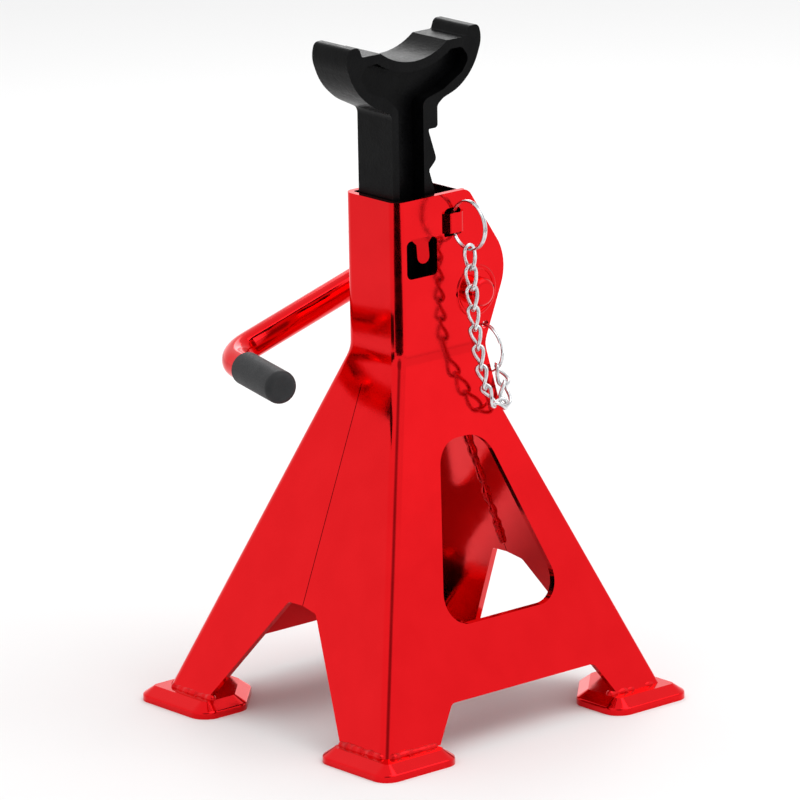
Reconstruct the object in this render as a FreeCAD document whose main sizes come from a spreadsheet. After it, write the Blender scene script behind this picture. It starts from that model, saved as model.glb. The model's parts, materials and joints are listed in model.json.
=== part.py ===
"""Axle jack stand: a folded sheet-steel tower on four pads, with a ratchet bar, a pawl handle
and a chain.  Millimetres, +Z up, origin on the ground under the middle of the base.
+X runs across the saddle towards the pawl housing, +Y towards the handle arm."""

import FreeCAD
import Part
import math
import os
import Sketcher

SIZES = {
    # base and pads
    "base_x": 190.0, "base_y": 180.0, "pad_x": 47.0, "pad_y": 50.0, "pad_high": 7.0,
    "pad_plate": 3.0, "pad_corner": 8.0, "pad_side_corner": 9.0, "pad_chamfer": 21.0, "pad_slope": 5.6,
    "pad_fall": 3.9, "pad_edge": 1.4,
    # folded sheet tower
    "sheet": 3.0, "column_x": 43.0, "column_y": 37.0, "column_top": 246.0, "crease_z": 171.0,
    "leg_x": 170.0, "leg_y": 157.6, "bend": 5.0, "tight_bend": 2.0, "crease_bend": 24.0,
    "face_mid_x": 4.5, "window_low": 54.0, "window_half": 38.0, "window_top_z": 114.0,
    "window_top_r": 19.5, "window_corner": 12.0, "apron_z": 22.8, "apron_half": 44.0,
    "arch_mid_y": 2.0, "arch_z": 58.5, "arch_half": 47.5, "arch_top_half": 10.0,
    "seam": 0.4, "open_low": 150.0,
    # details of the upper faces
    "slot_x": -6.0, "slot_low": 208.8, "slot_high": 227.0, "slot_wide": 18.5, "tongue": 7.2,
    "tongue_in": 1.2, "loop_x": 13.0, "loop_z": 232.0, "loop_wide": 10.6, "loop_high": 9.4,
    "loop_out": 2.9, "loop_sheet": 1.5, "ring_hole_x": 32.2, "ring_hole_z": 179.4, "ring_hole_r": 1.9,
    # pawl housing and handle
    "pivot_x": 26.7, "pivot_z": 196.7, "rod": 6.75, "rod_fit": 0.07, "shaft_out": 6.5,
    "arm_y": 48.3, "arm_drop": 16.16, "arm_long": 98.7, "grip_turn": 15.7, "rod_bend": 17.0,
    "grip_from": 21.4, "grip_to": 61.2, "grip_wall": 1.1, "plate_gap": 0.6,
    "pawl_half": 14.9, "hub": 10.4, "pin": 2.0, "collar_r": 11.2, "collar_wire": 1.3,
    # ratchet bar with its saddle
    "bar_y": 24.4, "bar_back": -17.4, "bar_low": 58.5, "tooth_root": 4.9, "tooth_tip": 8.9,
    "pitch": 19.0, "top_notch": 275.5, "notches": 10, "web": 8.4, "saddle_x": -3.2,
    "ledge_z": 316.0, "trough_z": 309.3, "ledge_half": 20.2, "back_flange": 3.9,
    "tooth_flange": 3.3,
    # split rings and chain
    "ring_r": 11.4, "ring_wire": 0.6, "link_wire": 0.8, "link_step": 9.6, "link_half": 3.4, "ring_play": 0.55,
}

doc = FreeCAD.newDocument("axle_jack_stand")
sheet = doc.addObject("Spreadsheet::Sheet", "sizes")
for row, (word, number) in enumerate(SIZES.items(), start=1):
    sheet.set(f"A{row}", word)
    sheet.set(f"B{row}", str(number))
    sheet.setAlias(f"B{row}", word)
doc.recompute()
S = {word: float(sheet.get(word)) for word in SIZES}
nodes = {}


def vec(x, y, z):
    return FreeCAD.Vector(x, y, z)


def rounded_wire(corners, lift):
    """Closed wire through 2D corners (u, v, radius), each rounded by an arc; lift makes 3D points."""
    flat = [FreeCAD.Vector(u, v, 0) for u, v, r in corners]
    edges, ends = [], []
    for i, (u, v, radius) in enumerate(corners):
        here, before, after = flat[i], flat[i - 1], flat[(i + 1) % len(flat)]
        to_before = (before - here).normalize()
        to_after = (after - here).normalize()
        half = to_before.getAngle(to_after) / 2
        reach = radius / math.tan(half)
        start, stop = here + to_before * reach, here + to_after * reach
        middle = here + (to_before + to_after).normalize() * (radius / math.sin(half) - radius)
        ends.append((start, middle, stop))
    for i, (start, middle, stop) in enumerate(ends):
        last = ends[i - 1][2]
        if (start - last).Length > 1e-6:
            edges.append(Part.makeLine(lift(*last[:2]), lift(*start[:2])))
        if (stop - start).Length > 1e-6:
            arc = Part.Arc(lift(*start[:2]), lift(*middle[:2]), lift(*stop[:2]))
            edges.append(arc.toShape())
    return Part.Wire(edges)


def prism_y(corners, low, high):
    """Solid of an XZ outline between two Y places."""
    face = Part.Face(rounded_wire(corners, lambda u, v: vec(u, low, v)))
    return face.extrude(vec(0, high - low, 0))


def prism_x(corners, low, high):
    """Solid of a YZ outline between two X places."""
    face = Part.Face(rounded_wire(corners, lambda u, v: vec(low, u, v)))
    return face.extrude(vec(high - low, 0, 0))


def box(x0, x1, y0, y1, z0, z1):
    return Part.makeBox(x1 - x0, y1 - y0, z1 - z0, vec(x0, y0, z0))


def rod(start, stop, radius):
    return Part.makeCylinder(radius, (stop - start).Length, start, stop - start)


def place(label, shape, placement=FreeCAD.Placement()):
    """Add a finished shape as a sub-part of its own."""
    item = doc.addObject("Part::Feature", label)
    item.Label = label
    item.Shape = shape.removeSplitter()
    item.Placement = placement
    nodes[label] = item
    return item


# ------------------------------------------------------------------ folded sheet tower
leg_low = S["pad_high"]
reach_out = 200.0


def flare(half_top, half_foot):
    """Slope of a leg face from the vertical, in radians."""
    return math.atan((half_foot - half_top) / (S["crease_z"] - leg_low))


def tower_outline(half_top, half_foot, inset, crease_r):
    """Half-widths at the column, crease and foot, moved inwards by a sheet's thickness."""
    lean = flare(half_top, half_foot)
    crease = S["crease_z"] - inset * math.tan(lean / 2)
    top_half = half_top - inset
    low = leg_low - 1.0
    foot = top_half + (crease - low) * math.tan(lean)
    top = S["column_top"] + (1.0 if inset else 0.0)
    low_z = low if inset else leg_low
    foot_half = foot if inset else top_half + (crease - leg_low) * math.tan(lean)
    return [(top_half, top, 0), (top_half, crease, crease_r), (foot_half, low_z, 0),
            (-foot_half, low_z, 0), (-top_half, crease, crease_r), (-top_half, top, 0)]


def tower_solid(inset):
    """Column and flared legs as one solid: two bent outlines crossed."""
    crease_r = S["crease_bend"] + inset
    across_x = tower_outline(S["column_x"] / 2, S["leg_x"] / 2, inset, crease_r)
    across_y = tower_outline(S["column_y"] / 2, S["leg_y"] / 2, inset, crease_r)
    return prism_y(across_x, -reach_out, reach_out), prism_x(across_y, -reach_out, reach_out)


def round_corners(solid, back_r, front_r):
    """Round the four upright corner runs: the two on the -X side wider than the two on +X."""
    picks = {back_r: [], front_r: []}
    for edge in solid.Edges:
        mid = edge.CenterOfMass
        ends = [v.Point for v in edge.Vertexes]
        drop = abs(ends[0].z - ends[-1].z)
        if drop > 1.0 and abs(mid.x) > 10 and abs(mid.y) > 10:
            picks[back_r if mid.x < 0 else front_r].append(edge)
    for radius, edges in picks.items():
        solid = solid.makeFillet(radius, [e for e in solid.Edges
                                          if any(e.isSame(p) or
                                                 (e.CenterOfMass - p.CenterOfMass).Length < 1e-3
                                                 for p in edges)])
    return solid


outer_xz, outer_yz = tower_solid(0.0)
inner_xz, inner_yz = tower_solid(S["sheet"])
outer = round_corners(outer_xz.common(outer_yz), S["bend"], S["tight_bend"])
inner = round_corners(inner_xz.common(inner_yz), S["bend"] - S["sheet"], 0.4)
tower = outer.cut(inner)

# Side walls carry on past the column as two ears around the pawl.
hump = [(8, S["column_top"], 0), (22.7, S["column_top"], 6), (47.0, 208.8, 24),
        (31.6, 170.6, 10), (31.6, 143.5, 0), (8, 143.5, 0)]
side_sheet = outer_yz.cut(inner_yz)
ears = side_sheet.common(prism_y(hump, -60, 60))
inside_y = S["column_y"] / 2 - S["sheet"]
inside_x = S["column_x"] / 2 - S["sheet"]
tower = tower.fuse(ears)
tower = tower.cut(box(inside_x - 1.0, 60, -inside_y, inside_y, S["open_low"], 260))

# Window and apron in the two wide faces.
mid = S["face_mid_x"]
tan_half = (S["window_half"] - S["window_top_r"]) / (S["window_top_z"] - S["window_low"])
top_z = S["window_top_z"] + S["window_top_r"]
top_half = S["window_half"] - tan_half * (top_z - S["window_low"])
window = [(mid - S["window_half"], S["window_low"], S["window_corner"]),
          (mid + S["window_half"], S["window_low"], S["window_corner"]),
          (mid + top_half, top_z, 14.5), (mid - top_half, top_z, 14.5)]
apron = [(mid - 60.4, 2.0, 0), (mid - S["apron_half"], S["apron_z"], 4),
         (mid + S["apron_half"], S["apron_z"], 4), (mid + 57, 2.0, 0)]
tower = tower.cut(prism_y(window, -reach_out, reach_out))
tower = tower.cut(prism_y(apron, -reach_out, reach_out))

# Arches in the two narrow faces, and the seam above each.
arch_mid = S["arch_mid_y"]
arch_low = arch_mid - S["arch_half"] - 5.0
arch_high = arch_mid + S["arch_half"] + 3.5
top_low, top_high = arch_mid - S["arch_top_half"], arch_mid + S["arch_top_half"]
arch = [(arch_low, 2.0, 0), (top_low, S["arch_z"] - 1.5, 3), (arch_mid, S["arch_z"] + 0.2, 5),
        (top_high, S["arch_z"], 3), (arch_high, 2.0, 0)]
tower = tower.cut(prism_x(arch, -reach_out, reach_out))
half_seam = S["seam"] / 2
tower = tower.cut(box(-70, -24, arch_mid - half_seam, arch_mid + half_seam, 50, 158))
tower = tower.cut(box(24, 70, arch_mid - half_seam, arch_mid + half_seam, 50, 149.0))

# U slot in each side wall; its middle tongue is bent inwards to guide the bar.
slot_half = S["slot_wide"] / 2
slot_x = S["slot_x"]
tongue_half = S["tongue"] / 2
arm_r = 2.6
slot_tall = [(slot_x - slot_half, S["slot_low"], 3), (slot_x + slot_half, S["slot_low"], 2.4),
             (slot_x + slot_half, S["slot_high"], arm_r), (slot_x - slot_half, S["slot_high"], arm_r)]
tongue_low = S["slot_low"] + 6.5
keep = [(slot_x - tongue_half, tongue_low, 3.4), (slot_x + tongue_half, tongue_low, 3.4),
        (slot_x + tongue_half, S["slot_high"] - arm_r, 0), (slot_x + tongue_half + arm_r, S["slot_high"], 0),
        (slot_x + tongue_half + arm_r, S["slot_high"] + 2, 0),
        (slot_x - tongue_half - arm_r, S["slot_high"] + 2, 0),
        (slot_x - tongue_half - arm_r, S["slot_high"], 0), (slot_x - tongue_half, S["slot_high"] - arm_r, 0)]
lean_in = math.degrees(math.atan(S["tongue_in"] / (S["slot_high"] - tongue_low)))
for side in (-1, 1):
    face_y = side * S["column_y"] / 2
    low_y, high_y = sorted((face_y, side * inside_y))
    tower = tower.cut(prism_y(slot_tall, low_y - 1, high_y + 1))
    tongue = prism_y(keep, low_y, high_y)
    tongue.rotate(vec(0, side * inside_y, S["slot_high"] + 0.6), vec(1, 0, 0), side * lean_in)
    tongue = tongue.common(box(-60, 60, -60, 60, 200, S["slot_high"] + 0.6))
    tower = tower.fuse(tongue)

# Lanced loop for the upper ring: a strip of the wall pressed outwards over an opening.
loop_x, loop_z = S["loop_x"], S["loop_z"]
loop_half, loop_up = S["loop_wide"] / 2, S["loop_high"] / 2
wall_y = -S["column_y"] / 2
opening = [(loop_x - loop_half, loop_z - loop_up - 2.0, 1.0), (loop_x + loop_half, loop_z - loop_up - 2.0, 1.0),
           (loop_x + loop_half, loop_z + loop_up + 2.0, 3.0), (loop_x - loop_half, loop_z + loop_up + 2.0, 3.0)]
tower = tower.cut(prism_y(opening, wall_y - 1, -inside_y + 1))
crown = wall_y - S["loop_out"]
foot_in = wall_y + 0.4
strip = [(loop_x - loop_half - 1.2, foot_in, 0), (loop_x - loop_half - 1.2, wall_y, 0),
         (loop_x - loop_half + 1.5, crown, 3.0), (loop_x + loop_half - 1.5, crown, 3.0),
         (loop_x + loop_half + 1.2, wall_y, 0), (loop_x + loop_half + 1.2, foot_in, 0),
         (loop_x + loop_half - 0.6, foot_in, 0),
         (loop_x + loop_half - 2.4, crown + S["loop_sheet"], 1.2),
         (loop_x - loop_half + 2.4, crown + S["loop_sheet"], 1.2),
         (loop_x - loop_half + 0.6, foot_in, 0)]
strip_low = loop_z - loop_up
bridge = Part.Face(rounded_wire(strip, lambda u, v: vec(u, v, strip_low)))
tower = tower.fuse(bridge.extrude(vec(0, 0, S["loop_high"])))

# Bores for the handle shaft, and the small hole for the lower ring.
bore = S["rod"] + S["rod_fit"]
shaft_axis = (vec(S["pivot_x"], -60, S["pivot_z"]), vec(S["pivot_x"], 60, S["pivot_z"]))
tower = tower.cut(rod(*shaft_axis, bore))
hole_x, hole_z = S["ring_hole_x"], S["ring_hole_z"]
tower = tower.cut(rod(vec(hole_x, -30, hole_z), vec(hole_x, 0, hole_z), S["ring_hole_r"]))
collar = Part.makeTorus(S["collar_r"], S["collar_wire"], vec(S["pivot_x"], wall_y + 0.6, S["pivot_z"]),
                        vec(0, 1, 0))
tower = tower.fuse(collar.common(box(0, 60, wall_y - 5, wall_y + 1, 170, 230)))
place("tower_sheet", tower)

# ------------------------------------------------------------------ back plate of the pawl housing
gap = S["plate_gap"]


def hump_inset(depth):
    """The ears' outline moved inwards by a depth, as a face in the XZ plane."""
    wire = rounded_wire(hump, lambda u, v: vec(u, 0, v))
    return Part.Face(wire).makeOffset2D(-depth)


plate_face = hump_inset(gap).cut(hump_inset(gap + S["sheet"]))
plate_zone = box(inside_x - 0.2, 60, -1, 1, 187.0, 241.0).fuse(box(20.2, 60, -1, 1, 187.0, 247.0))
plate = plate_face.common(plate_zone)
plate = plate.extrude(vec(0, 2 * inside_y, 0))
plate.translate(vec(0, -inside_y, 0))
place("back_plate", plate)

# ------------------------------------------------------------------ pads
def sketch_on(body, role, label):
    """A new sketch on one of the body's own origin planes."""
    plane = next(f for f in body.Origin.OriginFeatures if f.Role == role)
    item = body.newObject("Sketcher::SketchObject", label)
    item.AttachmentSupport = [(plane, "")]
    item.MapMode = "FlatFace"
    return item


def draw(item, corners):
    """Draw a closed outline of straight runs and rounding arcs in a sketch, held in place."""
    wire = rounded_wire(corners, lambda u, v: vec(u, v, 0))
    count = 0
    for edge in wire.OrderedEdges:
        first, last = edge.firstVertex(True).Point, edge.lastVertex(True).Point
        if isinstance(edge.Curve, Part.Line):
            item.addGeometry(Part.LineSegment(first, last), False)
        else:
            span = edge.ParameterRange
            item.addGeometry(Part.Arc(first, edge.valueAt((span[0] + span[1]) / 2), last), False)
        item.addConstraint(Sketcher.Constraint("Block", count))
        count += 1


def padded_body(label, role, corners, length, midplane=False):
    """A body made by padding one outline; its length is read from the sheet."""
    body = doc.addObject("PartDesign::Body", label)
    body.Label = label
    outline = sketch_on(body, role, label + "_outline")
    draw(outline, corners)
    pad = body.newObject("PartDesign::Pad", label + "_pad")
    pad.Profile = outline
    pad.setExpression("Length", length)
    if midplane:
        pad.SideType = "Symmetric"
    doc.recompute()
    nodes[label] = body
    return body, pad


def pocket(body, label, outline, length, flip):
    """Cut a pocket and make sure that it removed something."""
    before = body.Shape.Volume
    cut = body.newObject("PartDesign::Pocket", label)
    cut.Profile = outline
    cut.setExpression("Length", length)
    cut.Reversed = flip
    doc.recompute()
    if body.Shape.Volume > before - 1.0:
        raise RuntimeError(label + " cut nothing")
    return cut


def pad_outline(side_x, side_y, inset):
    """Plan of one pad: wide round outer corner, slanting cut at the inner one."""
    out_x, out_y = S["base_x"] / 2 - inset, S["base_y"] / 2 - inset
    in_x = S["base_x"] / 2 - S["pad_x"] + inset
    in_y = S["base_y"] / 2 - S["pad_y"] + inset
    cut = S["pad_chamfer"] - 0.59 * inset
    r = max(S["pad_corner"] - inset, 1.0)
    small = max(S["pad_side_corner"] - inset, 1.0)
    plan = [(out_x, out_y, r), (in_x, out_y, small), (in_x, in_y + cut, small),
            (in_x + cut, in_y, small), (out_x, in_y, small)]
    return [(side_x * u, side_y * v, radius) for u, v, radius in plan]


def edges_at(shape, z):
    """Names of the edges that lie at one height."""
    level = []
    for i, edge in enumerate(shape.Edges, start=1):
        if all(abs(v.Z - z) < 1e-6 for v in edge.Vertexes):
            level.append(f"Edge{i}")
    if not level:
        raise RuntimeError(f"no edges at {z}")
    return level


CORNERS = {"front_left": (-1, -1), "front_right": (1, -1), "rear_left": (-1, 1), "rear_right": (1, 1)}
for name, (side_x, side_y) in CORNERS.items():
    label = "foot_pad_" + name
    body, pad = padded_body(label, "XY_Plane", pad_outline(side_x, side_y, 0.0), "sizes.pad_high")
    slope = body.newObject("PartDesign::Chamfer", label + "_sloping_skirt")
    slope.Base = (pad, edges_at(pad.Shape, S["pad_high"]))
    slope.ChamferType = "Two distances"
    slope.setExpression("Size", "sizes.pad_fall")
    slope.setExpression("Size2", "sizes.pad_slope")
    doc.recompute()
    turned = body.newObject("PartDesign::Fillet", label + "_turned_edge")
    turned.Base = (slope, edges_at(slope.Shape, S["pad_high"] - S["pad_fall"]))
    turned.setExpression("Radius", "sizes.pad_edge")
    doc.recompute()
    hollow = sketch_on(body, "XY_Plane", label + "_hollow")
    draw(hollow, pad_outline(side_x, side_y, S["pad_plate"]))
    pocket(body, label + "_pressing", hollow, "sizes.pad_high - sizes.pad_plate", True)

# ------------------------------------------------------------------ weld beads at the legs and seams
def leg_line(side_x, side_y, along, toward):
    """Run of one weld on a pad, along the foot of a leg's face."""
    corner_x, corner_y = side_x * S["leg_x"] / 2, side_y * S["leg_y"] / 2
    run = along - 8.0
    if toward == "x":
        return vec(corner_x - side_x * 8, corner_y, leg_low), vec(corner_x - side_x * run, corner_y, leg_low)
    return vec(corner_x, corner_y - side_y * 8, leg_low), vec(corner_x, corner_y - side_y * run, leg_low)


tower_shape = nodes["tower_sheet"].Shape
for name, (side_x, side_y) in CORNERS.items():
    beads = []
    for toward, along in (("x", 34.0), ("y", 36.0)):
        start, stop = leg_line(side_x, side_y, along, toward)
        bead = rod(start, stop, 2.0)
        for end in (start, stop):
            bead = bead.fuse(Part.makeSphere(2.0, end))
        bead = bead.cut(tower_shape)
        bead = bead.cut(box(-200, 200, -200, 200, -10, leg_low))
        outside = max(bead.Solids, key=lambda s: s.Volume)
        beads.append(outside)
    place("foot_weld_" + name, Part.makeCompound(beads))

seam_lean = flare(S["column_x"] / 2, S["leg_x"] / 2)


def leg_face_x(z, depth=0.0):
    """X of the narrow leg face at a height, a given depth inside its outer surface."""
    return S["column_x"] / 2 + (S["crease_z"] - z) * math.tan(seam_lean) - depth / math.cos(seam_lean)


for label, side_x, high in (("seam_weld_back", -1, 156.0), ("seam_weld_pawl_side", 1, 147.0)):
    low_end = vec(side_x * leg_face_x(61.5, S["sheet"] + 0.2), arch_mid, 61.5)
    high_end = vec(side_x * leg_face_x(high, S["sheet"] + 0.2), arch_mid, high)
    bead = rod(low_end, high_end, 2.2).cut(tower_shape)
    place(label, max(bead.Solids, key=lambda s: s.Volume))

# ------------------------------------------------------------------ ratchet bar with its saddle
def bar_outline():
    """Outline in XZ, starting at the foot on the -X side and going up that side."""
    back, cx = S["bar_back"], S["saddle_x"]
    ledge = S["ledge_z"]
    points = [(back, S["bar_low"], 1.5), (back, 286.2, 4.0), (cx - 27.0, 292.6, 24),
              (cx - 36.4, 301.0, 28), (cx - 41.4, 314.2, 12.5), (cx - 39.2, 320.8, 3.0),
              (cx - 33.2, 320.8, 2.9), (cx - 31.4, ledge, 1.0)]
    return points


def bar_face():
    """The bar's whole XZ face: both horns, the round trough and the ratchet teeth."""
    cx, ledge = S["saddle_x"], S["ledge_z"]
    left = bar_outline()
    right = [(2 * cx - x, z, r) for x, z, r in reversed(left[2:])]
    right += [(14.0, 289.4, 4), (S["tooth_tip"] + 1.4, 286.6, 3.0),
              (S["tooth_tip"] + 1.4, S["top_notch"] + 0.6, 1.6)]
    teeth = []
    count = int(S["notches"])
    for k in range(count):
        z = S["top_notch"] - k * S["pitch"]
        teeth.append((S["tooth_root"], z + 0.5, 0.5))
        teeth.append((S["tooth_root"], z - 0.7, 0.5))
        last = k == count - 1
        tip_x = S["tooth_tip"] - (0.8 if last else 0.0)
        teeth.append((tip_x, z - 12.9, 3.0 if not last else 1.0))
        if not last:
            teeth.append((tip_x, z - S["pitch"] + 4.3, 2.9))
    foot = [(S["tooth_tip"] - 0.8, S["bar_low"], 1.5)]
    face = Part.Face(rounded_wire(left + right + teeth + foot, lambda u, v: vec(u, 0, v)))
    low = vec(cx, 0, S["trough_z"])
    sag = ledge - S["trough_z"]
    radius = (S["ledge_half"] ** 2 + sag ** 2) / (2 * sag)
    trough = Part.makeCylinder(radius, 4, low + vec(0, -2, radius), vec(0, 1, 0))
    return face.cut(trough), radius


bar_profile, trough_r = bar_face()
half_bar = S["bar_y"] / 2
bar = bar_profile.extrude(vec(0, S["bar_y"], 0))
bar.translate(vec(0, -half_bar, 0))
bar = bar.cut(box(-70, 70, -half_bar - 5, half_bar + 5, 330, 340))
cx = S["saddle_x"]
stem_left = S["bar_back"] + S["back_flange"]
stem_right = S["tooth_root"] - S["tooth_flange"]
recess = [(stem_left, S["bar_low"] + 5, 2), (stem_left, 288.0, 4), (cx - 17.0, 294.2, 4),
          (cx - 28.5, 299.2, 4), (cx - 32.6, 306.0, 4), (cx - 29.0, 311.6, 3), (cx - 21.0, 311.6, 1.0),
          (cx - 20.0, 309.8, 0), (cx + 20.0, 309.8, 0),
          (cx + 21.0, 311.6, 1.0), (cx + 29.0, 311.6, 3), (cx + 33.4, 306.0, 4), (cx + 29.0, 299.8, 4),
          (cx + 17.5, 293.4, 6), (stem_right, 290.0, 4), (stem_right, S["bar_low"] + 5, 2)]
rim = Part.makeCylinder(trough_r + 4.7, 60, vec(cx, -30, S["trough_z"] + trough_r), vec(0, 1, 0))
depth = (S["bar_y"] - S["web"]) / 2
for side in (-1, 1):
    low_y, high_y = sorted((side * half_bar, side * (half_bar - depth)))
    hollow = prism_y(recess, low_y - (1 if side < 0 else 0), high_y + (1 if side > 0 else 0)).cut(rim)
    bar = bar.cut(hollow)
place("ratchet_bar", bar)

# ------------------------------------------------------------------ pawl on the handle's shaft
catch_z = S["top_notch"] - 3 * S["pitch"]
pivot = vec(S["pivot_x"], 0, S["pivot_z"])
nose = [(S["tooth_root"] + 0.8, catch_z, 0.5), (S["tooth_tip"] + 1.6, catch_z + 3.9, 1.5), (17.6, catch_z + 3.0, 6),
        (S["pivot_x"] + 7.0, S["pivot_z"] + 7.6, 3), (S["pivot_x"], S["pivot_z"] - 2, 3),
        (S["pivot_x"] - 10.2, S["pivot_z"] - 2, 2), (S["tooth_tip"] + 1.6, 203.0, 2)]
body, pad = padded_body("pawl", "XZ_Plane", nose, "2 * sizes.pawl_half", midplane=True)
hub = body.newObject("PartDesign::AdditiveCylinder", "pawl_hub")
hub.setExpression("Radius", "sizes.hub")
hub.setExpression("Height", "2 * sizes.pawl_half")
hub.Placement = FreeCAD.Placement(pivot + vec(0, S["pawl_half"], 0), FreeCAD.Rotation(vec(1, 0, 0), 90))
doc.recompute()
shaft_bore = body.newObject("PartDesign::SubtractiveCylinder", "pawl_bore")
shaft_bore.setExpression("Radius", "sizes.rod")
shaft_bore.setExpression("Height", "2 * sizes.pawl_half + 2")
shaft_bore.Placement = FreeCAD.Placement(pivot + vec(0, S["pawl_half"] + 1, 0),
                                         FreeCAD.Rotation(vec(1, 0, 0), 90))
doc.recompute()
pin_hole = body.newObject("PartDesign::SubtractiveCylinder", "pawl_pin_hole")
pin_hole.setExpression("Radius", "sizes.pin")
pin_hole.setExpression("Height", "4 * sizes.hub")
pin_hole.Placement = FreeCAD.Placement(pivot - vec(2 * S["hub"], 0, 0), FreeCAD.Rotation(vec(0, 1, 0), 90))
doc.recompute()

# ------------------------------------------------------------------ roll pin
roll_pin = doc.addObject("Part::Cylinder", "roll_pin")
roll_pin.Label = "roll_pin"
roll_pin.setExpression("Radius", "sizes.pin")
roll_pin.setExpression("Height", "2 * sizes.hub - 1")
roll_pin.Placement = FreeCAD.Placement(pivot - vec(S["hub"] - 0.5, 0, 0),
                                       FreeCAD.Rotation(vec(0, 1, 0), 90))
nodes["roll_pin"] = roll_pin

# ------------------------------------------------------------------ bent handle rod and its grip
drop, turn = math.radians(S["arm_drop"]), math.radians(S["grip_turn"])
arm_way = vec(-math.cos(drop), 0, -math.sin(drop))
grip_way = vec(-math.sin(turn), -math.cos(turn), 0)
shaft_end = vec(S["pivot_x"], -S["column_y"] / 2 - S["shaft_out"], S["pivot_z"])
first_bend = vec(S["pivot_x"], S["arm_y"], S["pivot_z"])
elbow = first_bend + arm_way * S["arm_long"]
grip_end = elbow + grip_way * (S["grip_to"] - S["grip_wall"])


def bent_rod(points, bend, radius):
    """Round rod along straight runs joined by arcs, one swept solid per run and arc, fused."""
    pieces = []
    start = points[0]
    for here, after in zip(points[1:-1], points[2:]):
        to_before = (start - here).normalize()
        to_after = (after - here).normalize()
        half = to_before.getAngle(to_after) / 2
        reach = bend / math.tan(half)
        arc_in, arc_out = here + to_before * reach, here + to_after * reach
        middle = here + (to_before + to_after).normalize() * (bend / math.sin(half) - bend)
        pieces.append(Part.makeLine(start, arc_in))
        pieces.append(Part.Arc(arc_in, middle, arc_out).toShape())
        start = arc_out
    pieces.append(Part.makeLine(start, points[-1]))
    path = Part.Wire(pieces)
    first = (points[1] - points[0]).normalize()
    ring = Part.Wire(Part.makeCircle(radius, points[0], first))
    return path.makePipeShell([ring], True, False)


handle = bent_rod([shaft_end, first_bend, elbow, grip_end], S["rod_bend"], S["rod"])
tip_edges = [e for e in handle.Edges if all(abs(v.Y - shaft_end.y) < 1e-6 for v in e.Vertexes)]
handle = handle.makeFillet(2.4, tip_edges)
handle = handle.cut(rod(pivot - vec(S["hub"], 0, 0), pivot + vec(S["hub"], 0, 0), S["pin"]))
place("handle_rod", handle)

cap_start = elbow + grip_way * S["grip_from"]
cap_end = elbow + grip_way * S["grip_to"]
cap = rod(cap_start, cap_end, S["rod"] + S["grip_wall"])
far = [e for e in cap.Edges if all((v.Point - cap_end).Length < S["rod"] + 3 for v in e.Vertexes)]
far = [e for e in far if isinstance(e.Curve, Part.Circle)]
cap = cap.makeFillet(3.0, far)
cap = cap.cut(handle)
place("rubber_grip", cap)

# ------------------------------------------------------------------ split rings
def split_ring(centre, normal):
    """Two turns of thin wire lying side by side, drawn as two touching hoops fused."""
    side = FreeCAD.Vector(normal).normalize() * (S["ring_wire"] * 0.93)
    first = Part.makeTorus(S["ring_r"], S["ring_wire"], centre + side, normal)
    second = Part.makeTorus(S["ring_r"], S["ring_wire"], centre - side, normal)
    return first.fuse(second)


upper_centre = vec(S["loop_x"] + 0.5, wall_y + 0.75 - S["ring_r"], S["loop_z"])
lower_centre = vec(hole_x + 0.55, wall_y + S["sheet"] / 2 - 1.0, hole_z - S["ring_r"] + 0.1)
place("upper_split_ring", split_ring(upper_centre, vec(1, 0, 0)))
place("lower_split_ring", split_ring(lower_centre, vec(1, 0, 0.048)))

# ------------------------------------------------------------------ chain between the rings
ring_inside = S["ring_r"] - S["ring_wire"] - S["ring_play"]
top_hang = upper_centre + vec(0, 0, -ring_inside)
low_hang = lower_centre + vec(0.35, -0.68 * ring_inside, -0.733 * ring_inside)
route = [top_hang, vec(13.8, -30.0, 204.0), vec(14.6, -30.2, 188.0), vec(16.8, -30.8, 171.0),
         vec(18.6, -32.0, 157.4), vec(21.6, -33.6, 147.4), vec(27.4, -35.0, 142.4),
         vec(31.4, -32.8, 147.6), low_hang]
spline = Part.BSplineCurve()
spline.interpolate(route)
chain_long = spline.length()
links = int(round(chain_long / S["link_step"]))
marks = [spline.value(spline.parameterAtDistance(chain_long * i / links)) for i in range(links + 1)]


def chain_link(start, stop, edgeways):
    """One long oval link of round wire between two hang points; edgeways turns it a quarter round."""
    along = stop - start
    side = along.cross(vec(0, 1, 0)).cross(along) if edgeways else along.cross(vec(1, 0, 0)).cross(along)
    half_long = along.Length / 2 + S["link_wire"] * (2 + 0.06)
    bow = S["link_half"] - S["link_wire"]
    straight = half_long - bow - S["link_wire"]
    path = Part.Wire([Part.makeLine(vec(bow, 0, -straight), vec(bow, 0, straight)),
                      Part.Arc(vec(bow, 0, straight), vec(0, 0, straight + bow),
                               vec(-bow, 0, straight)).toShape(),
                      Part.makeLine(vec(-bow, 0, straight), vec(-bow, 0, -straight)),
                      Part.Arc(vec(-bow, 0, -straight), vec(0, 0, -straight - bow),
                               vec(bow, 0, -straight)).toShape()])
    ring = Part.Wire(Part.makeCircle(S["link_wire"], vec(bow, 0, 0), vec(0, 0, 1)))
    half_way = Part.Wire([Part.makeLine(vec(bow, 0, 0), vec(bow, 0, straight)), path.Edges[1],
                          Part.makeLine(vec(-bow, 0, straight), vec(-bow, 0, 0))])
    upper = half_way.makePipeShell([ring], True, False)
    lower = upper.copy()
    lower.rotate(vec(0, 0, 0), vec(1, 0, 0), 180)
    link = upper.fuse(lower).removeSplitter()
    link.Placement = FreeCAD.Placement((start + stop) / 2,
                                       FreeCAD.Rotation(side, vec(0, 0, 0), along, "ZXY"))
    return link


chain = [chain_link(marks[i], marks[i + 1], i % 2 == 1) for i in range(links)]
place("chain_links", Part.makeCompound(chain))

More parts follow.
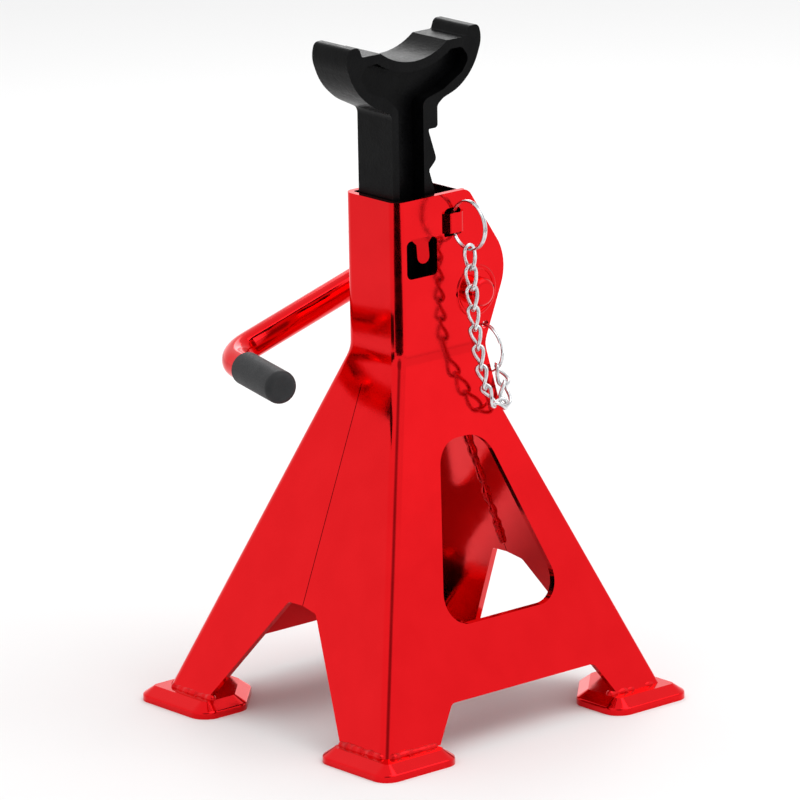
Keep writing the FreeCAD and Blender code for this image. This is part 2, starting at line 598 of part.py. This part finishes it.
# ------------------------------------------------------------------ check and write
doc.recompute()
for item in doc.Objects:
    if {"Invalid", "Error"} & set(item.State):
        raise RuntimeError(item.Label + " failed: " + ", ".join(item.State))
os.makedirs("parts", exist_ok=True)
for label, item in nodes.items():
    shape = item.Shape
    if shape.isNull() or not shape.isValid() or not shape.Solids:
        raise RuntimeError(label + " is not a valid solid")
    shape.exportStep(f"parts/{label}.step")
    print(f"{label:28s} solids {len(shape.Solids):2d}  volume {shape.Volume:10.1f}")
print(f"chain length {chain_long:.1f}, links {links}, pitch {chain_long / links:.2f}")
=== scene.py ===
"""Looks of the axle jack stand: paint, casting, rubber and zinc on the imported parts, with wound split
rings, a twisted chain and rippled weld beads.  Metres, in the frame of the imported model."""

import json
import math

import bpy
import numpy as np
from mathutils import Matrix, Vector, noise

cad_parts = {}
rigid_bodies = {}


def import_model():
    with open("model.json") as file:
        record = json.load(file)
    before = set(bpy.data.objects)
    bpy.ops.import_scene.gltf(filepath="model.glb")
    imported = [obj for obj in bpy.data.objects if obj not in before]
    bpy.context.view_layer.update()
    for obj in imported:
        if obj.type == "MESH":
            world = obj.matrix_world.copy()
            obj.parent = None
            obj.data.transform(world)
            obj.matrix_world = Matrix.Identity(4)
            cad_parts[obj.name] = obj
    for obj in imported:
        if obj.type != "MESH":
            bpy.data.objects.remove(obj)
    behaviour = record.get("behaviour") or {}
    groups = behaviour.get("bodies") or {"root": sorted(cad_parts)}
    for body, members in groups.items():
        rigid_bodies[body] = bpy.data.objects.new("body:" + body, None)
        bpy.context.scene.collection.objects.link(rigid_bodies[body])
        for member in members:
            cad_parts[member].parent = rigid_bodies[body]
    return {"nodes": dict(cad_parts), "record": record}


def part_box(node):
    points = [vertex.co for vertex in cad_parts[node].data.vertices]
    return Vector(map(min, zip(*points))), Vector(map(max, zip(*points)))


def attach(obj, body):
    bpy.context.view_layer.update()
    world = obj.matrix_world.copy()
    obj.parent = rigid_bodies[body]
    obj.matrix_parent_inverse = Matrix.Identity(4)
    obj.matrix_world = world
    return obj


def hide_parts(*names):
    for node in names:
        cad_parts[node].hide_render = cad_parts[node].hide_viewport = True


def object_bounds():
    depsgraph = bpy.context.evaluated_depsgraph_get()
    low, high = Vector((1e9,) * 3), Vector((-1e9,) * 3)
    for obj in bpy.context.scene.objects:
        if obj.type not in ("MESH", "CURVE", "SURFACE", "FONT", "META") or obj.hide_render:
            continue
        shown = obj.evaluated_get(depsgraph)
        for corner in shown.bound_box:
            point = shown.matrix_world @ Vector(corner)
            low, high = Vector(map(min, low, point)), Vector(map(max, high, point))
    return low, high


for leftover in list(bpy.data.objects):
    bpy.data.objects.remove(leftover)

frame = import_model()
bpy.context.view_layer.update()
cad_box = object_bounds()
nodes = frame["nodes"]
MM = 0.001


# ------------------------------------------------------------------ node helpers
def shader(name):
    """A new node material: its tree, its Principled shader and a texture place on the piece."""
    material = bpy.data.materials.new(name)
    material.use_nodes = True
    tree = material.node_tree
    principled = tree.nodes["Principled BSDF"]
    place = tree.nodes.new("ShaderNodeTexCoord").outputs["Object"]
    return material, tree, principled, place


def noise_at(tree, place, scale, detail, roughness=0.5):
    """Noise texture; scale is in cells per metre."""
    cloud = tree.nodes.new("ShaderNodeTexNoise")
    cloud.inputs["Scale"].default_value = scale
    cloud.inputs["Detail"].default_value = detail
    cloud.inputs["Roughness"].default_value = roughness
    tree.links.new(place, cloud.inputs["Vector"])
    return cloud.outputs["Fac"]


def spread(tree, value, source, target):
    """Map a value's range to another, clamped; each range is (first end, last end)."""
    change = tree.nodes.new("ShaderNodeMapRange")
    for word, number in zip(("From Min", "From Max", "To Min", "To Max"), (*source, *target)):
        change.inputs[word].default_value = number
    tree.links.new(value, change.inputs["Value"])
    return change.outputs["Result"]


def mixed(tree, share, first, second):
    """Colour between two colours (or sockets) by a share from 0 to 1."""
    mix = tree.nodes.new("ShaderNodeMix")
    mix.data_type = "RGBA"
    tree.links.new(share, mix.inputs["Factor"])
    for word, colour in (("A", first), ("B", second)):
        socket = next(s for s in mix.inputs if s.name == word and s.type == "RGBA")
        if isinstance(colour, bpy.types.NodeSocket):
            tree.links.new(colour, socket)
        else:
            socket.default_value = (*colour, 1.0)
    return next(s for s in mix.outputs if s.type == "RGBA")


def tint(tree, principled, pattern, reach, first, second):
    """Base colour that goes from the first colour to the second as the pattern crosses its reach."""
    colour = mixed(tree, spread(tree, pattern, reach, (0, 1)), first, second)
    tree.links.new(colour, principled.inputs["Base Color"])


def polish(tree, principled, pattern, reach, roughness):
    """Roughness that goes from its first value to its second as the pattern crosses its reach."""
    tree.links.new(spread(tree, pattern, reach, roughness), principled.inputs["Roughness"])


def bumped(tree, principled, heights):
    """Chain of bump nodes; each height is (value, strength, distance in metres)."""
    normal = None
    for value, strength, distance in heights:
        bump = tree.nodes.new("ShaderNodeBump")
        bump.inputs["Strength"].default_value = strength
        bump.inputs["Distance"].default_value = distance
        tree.links.new(value, bump.inputs["Height"])
        if normal is not None:
            tree.links.new(normal, bump.inputs["Normal"])
        normal = bump.outputs["Normal"]
    tree.links.new(normal, principled.inputs["Normal"])


# ------------------------------------------------------------------ materials
def red_paint():
    """Candy red lacquer over bright metal: it mirrors its surroundings in red."""
    material, tree, principled, place = shader("red_paint_gloss")
    principled.inputs["Metallic"].default_value = 1.0
    depth = noise_at(tree, place, scale=55, detail=3.0)
    tint(tree, principled, depth, (0.35, 0.65), (0.755, 0.0092, 0.0130), (0.785, 0.0104, 0.0144))
    haze = noise_at(tree, place, scale=160, detail=3.0)
    polish(tree, principled, haze, reach=(0.3, 0.7), roughness=(0.09, 0.15))
    waves = noise_at(tree, place, scale=34, detail=1.0)
    peel = noise_at(tree, place, scale=620, detail=1.5)
    bumped(tree, principled, [(waves, 0.05, 4.0 * MM), (peel, 0.05, 0.2 * MM)])
    return material


def weld_paint():
    """The same lacquer over rough weld metal: duller and uneven, with painted shade darkening the pits."""
    material, tree, principled, place = shader("red_paint_on_weld")
    principled.inputs["Metallic"].default_value = 0.95
    pits = noise_at(tree, place, scale=300, detail=3.0)
    # painted shade: the base colour darkens where the bump sinks the pits
    tint(tree, principled, pits, (0.32, 0.52), (0.56, 0.0075, 0.011), (0.76, 0.0096, 0.0135))
    polish(tree, principled, pits, reach=(0.3, 0.6), roughness=(0.36, 0.22))
    bumped(tree, principled, [(pits, 0.2, 0.5 * MM)])
    return material


def black_casting():
    """Semi-matt black coat over sand-cast iron."""
    material, tree, principled, place = shader("black_coated_casting")
    principled.inputs["Specular IOR Level"].default_value = 0.08
    grain = noise_at(tree, place, scale=900, detail=3.0, roughness=0.6)
    dust = noise_at(tree, place, scale=90, detail=4.0, roughness=0.6)
    tint(tree, principled, dust, (0.4, 0.75), (0.0012, 0.0012, 0.0015), (0.0034, 0.0035, 0.0038))
    polish(tree, principled, grain, reach=(0.3, 0.7), roughness=(0.27, 0.42))
    bumped(tree, principled, [(dust, 0.16, 1.6 * MM), (grain, 0.30, 0.35 * MM)])
    return material


def grey_rubber():
    """Dip-moulded rubber, matt, with fine grain."""
    material, tree, principled, place = shader("grey_rubber_matt")
    principled.inputs["Specular IOR Level"].default_value = 0.25
    grain = noise_at(tree, place, scale=1500, detail=2.0, roughness=0.6)
    bloom = noise_at(tree, place, scale=120, detail=3.0)
    tint(tree, principled, bloom, (0.35, 0.7), (0.019, 0.0195, 0.021), (0.028, 0.0287, 0.0305))
    polish(tree, principled, grain, reach=(0.3, 0.7), roughness=(0.50, 0.66))
    bumped(tree, principled, [(grain, 0.35, 0.25 * MM)])
    return material


def bright_zinc():
    """Bright zinc plate on drawn wire, a little cloudy."""
    material, tree, principled, place = shader("bright_zinc_plate")
    principled.inputs["Metallic"].default_value = 1.0
    cloud = noise_at(tree, place, scale=380, detail=3.0)
    tint(tree, principled, cloud, (0.35, 0.65), (0.58, 0.59, 0.61), (0.80, 0.81, 0.82))
    polish(tree, principled, cloud, reach=(0.3, 0.7), roughness=(0.14, 0.26))
    scratches = noise_at(tree, place, scale=900, detail=2.0)
    bumped(tree, principled, [(scratches, 0.10, 0.2 * MM)])
    return material


def plain_steel():
    """Bare rolled spring steel of the pin."""
    material, tree, principled, place = shader("plain_rolled_steel")
    principled.inputs["Metallic"].default_value = 1.0
    mottle = noise_at(tree, place, scale=500, detail=4.0)
    tint(tree, principled, mottle, (0.35, 0.65), (0.30, 0.30, 0.31), (0.46, 0.46, 0.47))
    polish(tree, principled, mottle, reach=(0.3, 0.7), roughness=(0.28, 0.42))
    bumped(tree, principled, [(mottle, 0.15, 0.2 * MM)])
    return material


FINISH = {"red_paint": red_paint(), "black_casting": black_casting(), "grey_rubber": grey_rubber(),
          "bright_zinc": bright_zinc(), "plain_steel": plain_steel()}
WELD_FINISH = weld_paint()

slot_of = {part["node"]: part["material_slot"] for part in frame["record"]["subparts"]}
for name, part in nodes.items():
    for holder in part.material_slots:
        holder.material = FINISH[slot_of[name]]


# ------------------------------------------------------------------ mesh helpers
SAME_POINT = 0.001 * MM  # points of a mesh that are this near are one point
SKEW = (0.31, 0.57, 0.76)  # a direction that no swept path starts along


def islands(part):
    """The separate solids of a node, each as an array of its points."""
    mesh = part.data
    points = np.array([v.co for v in mesh.vertices])
    cells = np.round(points / SAME_POINT).astype(int)
    seen = {}
    same = [seen.setdefault(tuple(cell), i) for i, cell in enumerate(cells)]
    parent = list(range(len(points)))

    def root(i):
        while parent[i] != i:
            parent[i] = parent[parent[i]]
            i = parent[i]
        return i

    for i, j in enumerate(same):
        parent[root(i)] = root(j)
    for edge in mesh.edges:
        parent[root(edge.vertices[0])] = root(edge.vertices[1])
    groups = {}
    for i in range(len(points)):
        groups.setdefault(root(i), []).append(i)
    return [points[group] for group in groups.values()]


def main_axes(points):
    """Centre of the points' box in their own main directions, those directions, and half sizes."""
    middle = points.mean(0)
    directions = np.linalg.svd(points - middle, full_matrices=False)[2]
    along = (points - middle) @ directions.T
    low, high = along.min(0), along.max(0)
    return middle + ((low + high) / 2) @ directions, directions, (high - low) / 2


def unit(vector):
    """A vector's direction, at length one."""
    return vector / np.linalg.norm(vector)


def carried_sides(ways):
    """A direction square to a path at each of its points, carried along it without twisting."""
    side = np.cross(ways[0], SKEW)
    sides = []
    for way in ways:
        side = unit(side - way * (side @ way))
        sides.append(side)
    return sides


def closing_turn(ways, sides):
    """Angle from the last side, carried on to the start of a closed path, to the first side."""
    last = unit(sides[-1] - ways[0] * (sides[-1] @ ways[0]))
    return math.atan2(np.cross(last, sides[0]) @ ways[0], last @ sides[0])


def tube(path, radii, corners, closed):
    """Points and faces of a tube swept along a path: a closed loop, or open with a cap on each end."""
    path = np.asarray(path)
    count = len(path)
    radii = np.broadcast_to(radii, (count,))
    if closed:
        ways = np.roll(path, -1, 0) - np.roll(path, 1, 0)
    else:
        ways = np.gradient(path, axis=0)
    ways /= np.linalg.norm(ways, axis=1)[:, None]
    sides = carried_sides(ways)
    drift = closing_turn(ways, sides) if closed else 0.0
    turn = np.linspace(0, 2 * math.pi, corners, endpoint=False)
    points, faces = [], []
    for i, (centre, way, side, radius) in enumerate(zip(path, ways, sides, radii)):
        angles = turn + drift * i / count
        ring = np.outer(np.cos(angles), side) + np.outer(np.sin(angles), np.cross(way, side))
        points.extend(centre + radius * ring)
    for i in range(count if closed else count - 1):
        here, after = i * corners, (i + 1) % count * corners
        for k in range(corners):
            beside = (k + 1) % corners
            faces.append((here + k, here + beside, after + beside, after + k))
    if not closed:
        faces.append(tuple(range(corners))[::-1])
        faces.append(tuple(range((count - 1) * corners, count * corners)))
    return points, faces


def piece_from(name, parts, finish, body, replaced):
    """One smooth mesh object from several (points, faces) pairs; it rides on a body and replaces a node."""
    points, faces = [], []
    for more_points, more_faces in parts:
        first = len(points)
        points.extend(tuple(p) for p in more_points)
        faces.extend(tuple(first + i for i in face) for face in more_faces)
    mesh = bpy.data.meshes.new(name)
    mesh.from_pydata(points, [], faces)
    mesh.validate()
    mesh.shade_smooth()
    piece = bpy.data.objects.new(name, mesh)
    bpy.context.scene.collection.objects.link(piece)
    mesh.materials.append(finish)
    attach(piece, body)
    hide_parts(replaced)


# ------------------------------------------------------------------ split rings
RING_WIRE = 0.56 * MM  # radius, as every size of a wire here
PACKED_RING_WIRE = 0.6 * MM
RING_TURNS = 1.94
RING_GAP = 1.02  # distance between the two turns, in wire thicknesses
RING_JOG = 13.0  # a larger number makes a shorter step from one turn to the other
RING_TIP = 0.80  # wire at its two cut ends, against the rest
RING_STEPS = 132
RING_CORNERS = 14


def wound_ring(node, start_turn):
    """Split ring: one wire wound nearly twice, its two turns side by side with a jog between."""
    (points,) = islands(nodes[node])
    centre, directions, half = main_axes(points)
    normal = directions[2]
    if normal[0] < 0:
        normal = -normal
    across = unit(np.cross(normal, (0, 0, 1.0)))
    up = np.cross(across, normal)
    radius = half[0] - PACKED_RING_WIRE
    path = []
    for i in range(RING_STEPS + 1):
        share = i / RING_STEPS
        angle = start_turn + share * RING_TURNS * 2 * math.pi
        offset = math.tanh((share - 0.5) * RING_JOG) * RING_WIRE * RING_GAP
        path.append(centre + normal * offset + radius * (math.cos(angle) * across + math.sin(angle) * up))
    radii = np.full(RING_STEPS + 1, RING_WIRE)
    radii[[0, -1]] *= RING_TIP
    piece_from("wound_" + node, [tube(path, radii, RING_CORNERS, False)], FINISH["bright_zinc"], "chain",
               node)


wound_ring("upper_split_ring", math.radians(212))
wound_ring("lower_split_ring", math.radians(20))

# ------------------------------------------------------------------ twisted chain
LINK_WIRE = 0.92 * MM
PACKED_LINK_WIRE = 0.8 * MM
LINK_HALF_WIDTH = 3.35 * MM
LINK_SLACK = 0.02 * MM  # play that the thicker wire needs at each end of a link
LINK_END_STEPS = 10
LINK_SIDE_STEPS = 9
LINK_CORNERS = 12


def twisted_link(centre, along, side, half_long, start_angle, twist):
    """Oval link of round wire, its two ends turned against each other about its length."""
    bow = LINK_HALF_WIDTH - LINK_WIRE
    straight = half_long - LINK_WIRE - bow
    outline = []
    for sign in (1, -1):
        for i in range(LINK_END_STEPS + 1):
            angle = math.pi * i / LINK_END_STEPS
            outline.append((sign * bow * math.cos(angle), sign * (straight + bow * math.sin(angle))))
        for i in range(1, LINK_SIDE_STEPS):
            outline.append((-sign * bow, sign * straight * (1 - 2 * i / LINK_SIDE_STEPS)))
    upright = np.cross(along, side)
    path = []
    for width, height in outline:
        share = 0.5 + 0.5 * height / (straight + bow)
        angle = start_angle + twist * (3 * share ** 2 - 2 * share ** 3)
        path.append(centre + along * height + width * (math.cos(angle) * side + math.sin(angle) * upright))
    return tube(path, LINK_WIRE, LINK_CORNERS, True)


def hanging_order(links):
    """The links from the upper ring down, each the nearest one left to the link before it."""
    here = np.array(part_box("upper_split_ring")[0])
    left = list(links)
    order = []
    while left:
        nearest = min(range(len(left)), key=lambda i: np.linalg.norm(left[i][0] - here))
        order.append(left.pop(nearest))
        here = order[-1][0]
    return order


def twisted_chain():
    """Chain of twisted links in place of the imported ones, each turned a quarter on from the last's end."""
    links = hanging_order([main_axes(points) for points in islands(nodes["chain_links"])])
    half_turns = round(len(links) / 2)
    twist = math.pi * half_turns / len(links)
    parts = []
    angle = 0.0
    side = np.array((1.0, 0, 0))
    for place, (centre, directions, half) in enumerate(links):
        above = links[max(place - 1, 0)][0]
        below = links[min(place + 1, len(links) - 1)][0]
        along = directions[0]
        if along @ (below - above) < 0:
            along = -along
        side = unit(side - along * (side @ along))
        half_long = half[0] + 2 * (LINK_WIRE - PACKED_LINK_WIRE) + LINK_SLACK
        parts.append(twisted_link(centre, along, side, half_long, angle, twist))
        angle += twist + math.pi / 2
    piece_from("twisted_chain", parts, FINISH["bright_zinc"], "chain", "chain_links")


twisted_chain()

# ------------------------------------------------------------------ weld beads
BEAD_STEP = 0.28 * MM
BEAD_PITCH = 5.5 * MM  # one ripple
BEAD_RIPPLE = 0.05  # share of the radius that the ripples take
BEAD_SWELL = 0.22  # share of the radius that the slow unevenness adds or takes
BEAD_WANDER = 0.25 * MM
BEAD_CELL = 7 * MM  # length over which the bead's path and swelling change
BEAD_TIP = 0.12  # least radius at the round ends, as a share
BEAD_APART = 7.3  # distance in the noise from one bead's seed to the next
BEAD_SHIFTS = ((0, 0, 0), (9, 0, 0), (0, 0, 9))  # places in the noise for its wandering in X, Y and Z
BEAD_CORNERS = 14


def bead(start, end, radius, seed, uneven):
    """Weld bead from start to end: ripples of uneven width that wander a little, with round ends."""
    run = end - start
    length = np.linalg.norm(run)
    steps = int(length / BEAD_STEP)
    path, radii = [], []
    for i in range(steps + 1):
        share = i / steps
        spot = Vector((seed * BEAD_APART, share * length / BEAD_CELL, 0.5))
        wander = np.array([noise.noise(spot + Vector(shift)) for shift in BEAD_SHIFTS])
        path.append(start + run * share + wander * BEAD_WANDER * uneven)
        ripple = 1 - BEAD_RIPPLE + BEAD_RIPPLE * abs(math.sin(math.pi * share * length / BEAD_PITCH))
        swell = 1 + BEAD_SWELL * uneven * noise.noise(spot * 1.7 + Vector((3, 3, 3)))
        inward = min(1.0, min(share, 1 - share) * length / radius)
        cap = max(BEAD_TIP, math.sqrt(1 - (1 - inward) ** 2))
        radii.append(radius * swell * ripple * cap)
    return tube(path, radii, BEAD_CORNERS, False)


BLOB_RINGS = 7
BLOB_TIP = 0.08  # least radius at the ball's top and bottom, as a share
BLOB_CORNERS = 10


def blob(centre, radius):
    """One small round lump of spatter."""
    path, radii = [], []
    for i in range(BLOB_RINGS + 1):
        latitude = math.pi * (i / BLOB_RINGS - 0.5)
        path.append(centre + np.array((0, 0, radius * math.sin(latitude))))
        radii.append(radius * max(BLOB_TIP, math.cos(latitude)))
    return tube(path, radii, BLOB_CORNERS, False)


FOOT_BEAD = 2.1 * MM
FOOT_BEAD_PAST = 3.4 * MM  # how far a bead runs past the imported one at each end
FOOT_BEAD_UNEVEN = 1.4
SPATTER_PLACE = 0.35  # place of the lump beside its bead, as a share of the bead
SPATTER_OUT = 2.9 * MM
SPATTER_UP = 0.1 * MM
SPATTER_RADIUS = 0.45 * MM


def foot_welds(name, seed):
    """Both beads between a leg and its pad, and a lump of spatter on the pad beside each."""
    node = "foot_weld_" + name
    parts = []
    for number, points in enumerate(islands(nodes[node])):
        low, high = points.min(0), points.max(0)
        run = 0 if high[0] - low[0] > high[1] - low[1] else 1
        across = 1 - run
        outwards = 1 if low[across] > 0 else -1
        start, end = low.copy(), high.copy()
        start[run] -= FOOT_BEAD_PAST
        end[run] += FOOT_BEAD_PAST
        end[across] = start[across] = low[across] if outwards > 0 else high[across]
        end[2] = low[2]
        parts.append(bead(start, end, FOOT_BEAD, seed + number * 3, FOOT_BEAD_UNEVEN))
        spot = start + (end - start) * SPATTER_PLACE
        spot[across] += outwards * SPATTER_OUT
        spot[2] += SPATTER_UP
        parts.append(blob(spot, SPATTER_RADIUS))
    piece_from("weld_beads_" + name, parts, WELD_FINISH, "frame", node)


for number, corner in enumerate(("front_left", "front_right", "rear_left", "rear_right")):
    foot_welds(corner, 11 + 5 * number)

SEAM_BEAD = 1.85 * MM
SEAM_BEAD_UNEVEN = 2.2


def seam_bead(node, seed):
    """Long uneven bead along the inside of a leg's seam."""
    (points,) = islands(nodes[node])
    centre, directions, half = main_axes(points)
    reach = directions[0] * (half[0] - SEAM_BEAD)
    beads = [bead(centre - reach, centre + reach, SEAM_BEAD, seed, SEAM_BEAD_UNEVEN)]
    piece_from("rippled_" + node, beads, WELD_FINISH, "frame", node)


seam_bead("seam_weld_back", 41)
seam_bead("seam_weld_pawl_side", 47)

# ------------------------------------------------------------------ stage, light and camera
CAMERA_AZIMUTH, CAMERA_ELEVATION, CAMERA_ROLL = -40.652, 15.309, -1.019
CAMERA_DISTANCE, CAMERA_LENS, CAMERA_SENSOR = 3.38325, 325.1, 36.0
CAMERA_TARGET = Vector((0.010192, 0.017764, 0.140))
CAMERA_REACH = 20.0  # nothing farther than this is drawn
FLOOR_SIZE = 12
CARD_WIDTH, CARD_DEPTH = 1.10, 1.3
CARD_AWAY = 1.15  # from the origin to the dark card's middle
CARD_HEIGHT = 0.004


def direction(azimuth, elevation):
    """Unit vector towards an azimuth and elevation in degrees; azimuth 0 is -Y, 90 is +X."""
    a, e = math.radians(azimuth), math.radians(elevation)
    return Vector((math.sin(a) * math.cos(e), -math.cos(a) * math.cos(e), math.sin(e)))


def flat_finish(name, grey):
    """Matt grey finish of the floor or the card, which aren't part of the object."""
    material, _, principled, _ = shader(name)
    principled.inputs["Base Color"].default_value = (grey, grey, grey, 1.0)
    principled.inputs["Roughness"].default_value = 0.9
    principled.inputs["Specular IOR Level"].default_value = 0.0
    return material


def plane(name, centre, across, up, width, height, finish):
    """Flat rectangle with its middle, its two directions and its size; it isn't part of the object."""
    corners = [centre + across * (u * width / 2) + up * (v * height / 2)
               for u, v in ((-1, -1), (1, -1), (1, 1), (-1, 1))]
    mesh = bpy.data.meshes.new(name)
    mesh.from_pydata(corners, [], [(0, 1, 2, 3)])
    card = bpy.data.objects.new(name, mesh)
    bpy.context.scene.collection.objects.link(card)
    mesh.materials.append(finish)
    return card


def dark_card():
    """Black card that lies on the floor towards the camera; only reflections see it."""
    towards = direction(CAMERA_AZIMUTH, 0)
    centre = towards * CARD_AWAY + Vector((0, 0, CARD_HEIGHT))
    card = plane("dark_card", centre, direction(CAMERA_AZIMUTH + 90, 0), towards, CARD_WIDTH, CARD_DEPTH,
                 flat_finish("black_card", 0.004))
    for switch in ("visible_camera", "visible_diffuse", "visible_shadow", "visible_transmission"):
        setattr(card, switch, False)


def studio_world():
    """Even white surroundings, brighter behind the object and dim behind the camera."""
    world = bpy.data.worlds.new("white_studio")
    world.use_nodes = True
    tree = world.node_tree
    background = tree.nodes["Background"]
    way = tree.nodes.new("ShaderNodeTexCoord").outputs["Generated"]
    towards = tree.nodes.new("ShaderNodeVectorMath")
    towards.operation = "DOT_PRODUCT"
    towards.inputs[1].default_value = direction(CAMERA_AZIMUTH, CAMERA_ELEVATION + 12)
    tree.links.new(way, towards.inputs[0])
    # The value is the cosine of the angle from the middle of the dim patch.
    dim = spread(tree, towards.outputs["Value"], (0.91, 0.975), (0, 1))
    glow = spread(tree, towards.outputs["Value"], (-0.60, -0.90), (0, 1))
    backdrop = mixed(tree, glow, (1.0, 1.0, 1.0), (1.35, 1.35, 1.35))
    colour = mixed(tree, dim, backdrop, (0.30, 0.30, 0.30))
    tree.links.new(colour, background.inputs["Color"])
    background.inputs["Strength"].default_value = 1.0
    bpy.context.scene.world = world


def soft_light(name, azimuth, elevation, distance, size, watts, aside=(0, 0, 0)):
    """Square area light round the object's middle; it faces the middle, or a point aside from it."""
    middle = (cad_box[0] + cad_box[1]) / 2
    centre = middle + direction(azimuth, elevation) * distance
    lamp = bpy.data.lights.new(name, "AREA")
    lamp.shape = "SQUARE"
    lamp.size = size
    lamp.energy = watts
    holder = bpy.data.objects.new(name, lamp)
    holder.location = centre
    holder.rotation_euler = (middle + Vector(aside) - centre).to_track_quat("-Z", "Y").to_euler()
    bpy.context.scene.collection.objects.link(holder)


def long_camera():
    """Camera with a long lens, a little rolled, that looks at the object from its front left."""
    lens = bpy.data.cameras.new("camera")
    lens.lens = CAMERA_LENS
    lens.sensor_width = CAMERA_SENSOR
    lens.clip_end = CAMERA_REACH
    camera = bpy.data.objects.new("camera", lens)
    bpy.context.scene.collection.objects.link(camera)
    sight = direction(CAMERA_AZIMUTH, CAMERA_ELEVATION)
    turned = (-sight).to_track_quat("-Z", "Y").to_matrix().to_4x4()
    turned = turned @ Matrix.Rotation(math.radians(CAMERA_ROLL), 4, "Z")
    camera.matrix_world = Matrix.Translation(CAMERA_TARGET + sight * CAMERA_DISTANCE) @ turned
    bpy.context.scene.camera = camera


plane("floor", Vector((0, 0, 0)), Vector((1, 0, 0)), Vector((0, 1, 0)), FLOOR_SIZE, FLOOR_SIZE,
      flat_finish("pale_floor", 0.86))
dark_card()
studio_world()
soft_light("key_light", azimuth=35, elevation=55, distance=2.0, size=1.5, watts=12)
soft_light("low_box", azimuth=41, elevation=18, distance=0.95, size=0.22, watts=0.02,
           aside=(-0.02, 0, 0.02))
soft_light("back_light", azimuth=CAMERA_AZIMUTH + 180, elevation=32, distance=1.3, size=0.5, watts=2.6)
long_camera()
bpy.context.scene.view_settings.view_transform = "Standard"

bpy.context.view_layer.update()
